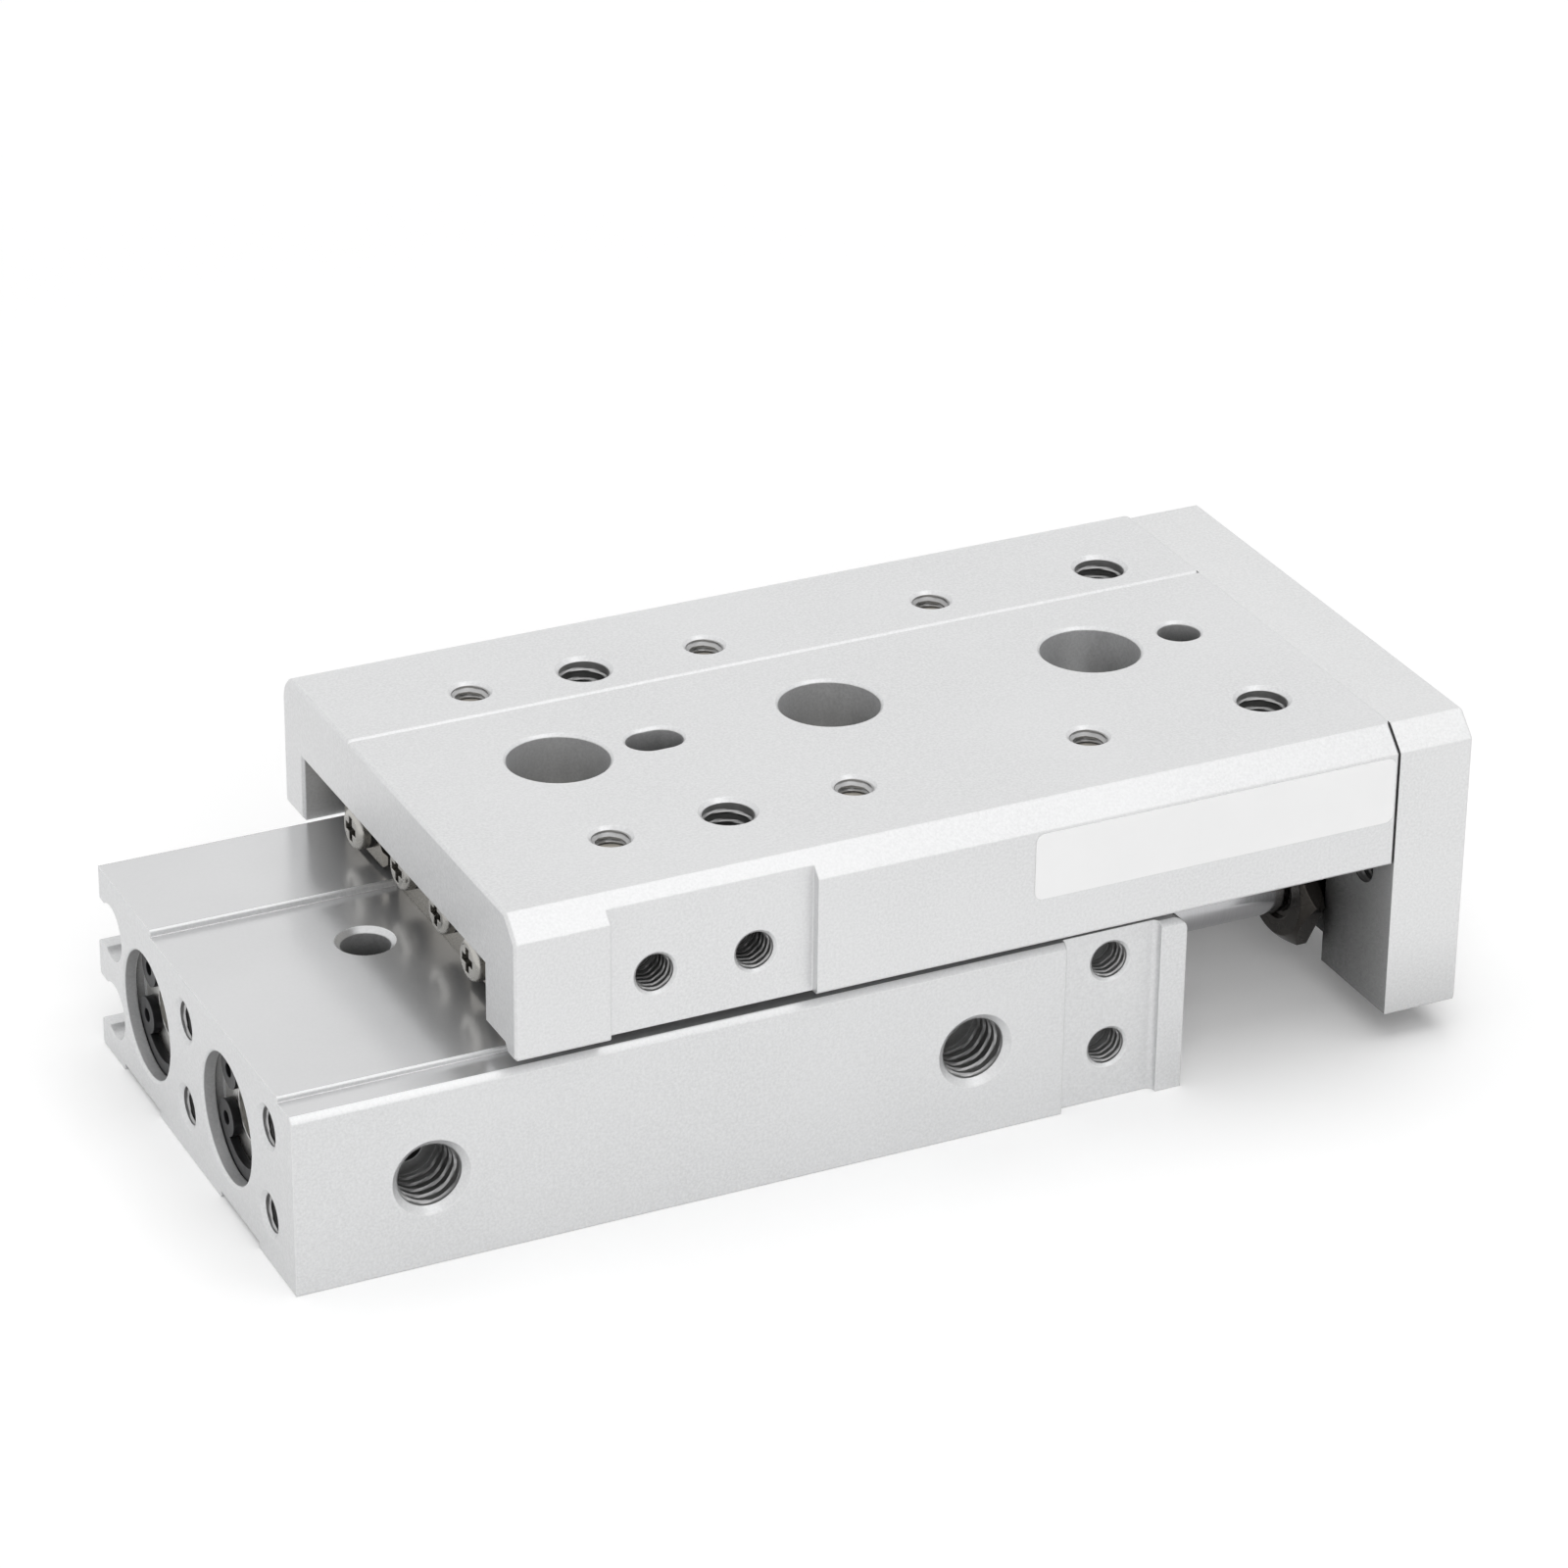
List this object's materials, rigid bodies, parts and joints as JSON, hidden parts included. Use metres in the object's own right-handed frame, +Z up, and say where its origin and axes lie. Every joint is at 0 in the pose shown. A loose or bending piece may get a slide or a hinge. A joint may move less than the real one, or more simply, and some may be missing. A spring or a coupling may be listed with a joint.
{
  "type": "pneumatic slide table",
  "caption": "Twin-bore air cylinder with a table that slides on a crossed-roller guide, shown part-extended, with air ports, sensor grooves and tapped mounting faces.",
  "frame": {"origin": "centre of the middle mounting hole, on the body's underside", "axes": "+X the way the table slides out, +Y towards the sensor grooves, +Z up from the underside to the table's top"},
  "size_m": [0.0855, 0.0401, 0.024],
  "materials": {
    "anodised_aluminium": "satin anodised",
    "guide_steel": "ground",
    "screw_steel": "zinc plated",
    "rod_steel": "polished",
    "bushing_steel": "dark oxide",
    "black_rubber": "matte",
    "piston_alloy": "turned",
    "magnet_black": "sintered",
    "spring_steel": "phosphated",
    "label_white": "film"
  },
  "bodies": {
    "base": {"cylinder_body": "anodised_aluminium", "guide_rail": "guide_steel", "rail_screws": "screw_steel", "rail_stopper_screws": "screw_steel", "rail_stop_washers": "black_rubber", "head_cap_front": "piston_alloy", "head_cap_rear": "piston_alloy", "head_cap_seal_front": "black_rubber", "head_cap_seal_rear": "black_rubber", "head_cap_ring_front": "spring_steel", "head_cap_ring_rear": "spring_steel", "rod_gland_front": "piston_alloy", "rod_gland_rear": "piston_alloy", "gland_seal_front": "black_rubber", "gland_seal_rear": "black_rubber", "rod_seal_front": "black_rubber", "rod_seal_rear": "black_rubber", "gland_ring_front": "spring_steel", "gland_ring_rear": "spring_steel"},
    "slide": {"table": "anodised_aluminium", "label_film": "label_white", "end_plate": "anodised_aluminium", "end_plate_bolts": "screw_steel", "guide_screws": "screw_steel", "guide_stopper_screws": "screw_steel", "guide_stop_washers": "black_rubber", "guide_front": "guide_steel", "guide_rear": "guide_steel", "piston_rod_front": "rod_steel", "piston_rod_rear": "rod_steel", "piston_front": "piston_alloy", "piston_rear": "piston_alloy", "magnet_front": "magnet_black", "magnet_rear": "magnet_black", "piston_seal_front": "black_rubber", "piston_seal_rear": "black_rubber", "piston_bumpers_front": "black_rubber", "piston_bumpers_rear": "black_rubber", "floating_bushing_front": "bushing_steel", "floating_bushing_rear": "bushing_steel", "rod_end_screw_front": "screw_steel", "rod_end_screw_rear": "screw_steel"},
    "cage_front": {"roller_cage_front": "guide_steel", "rollers_front": "rod_steel"},
    "cage_rear": {"roller_cage_rear": "guide_steel", "rollers_rear": "rod_steel"}
  },
  "joints": [
    {"name": "table_slide", "type": "slide", "parent": "base", "child": "slide", "axis": [1, 0, 0], "range_m": [-0.014, 0.016]},
    {"name": "cage_front_roll", "type": "slide", "parent": "base", "child": "cage_front", "axis": [1, 0, 0], "range_m": [-0.007, 0.008]},
    {"name": "cage_rear_roll", "type": "slide", "parent": "base", "child": "cage_rear", "axis": [1, 0, 0], "range_m": [-0.007, 0.008]}
  ],
  "couplings": [
    {"joint": "cage_front_roll", "follows": "table_slide", "ratio": 0.5},
    {"joint": "cage_rear_roll", "follows": "table_slide", "ratio": 0.5}
  ]
}
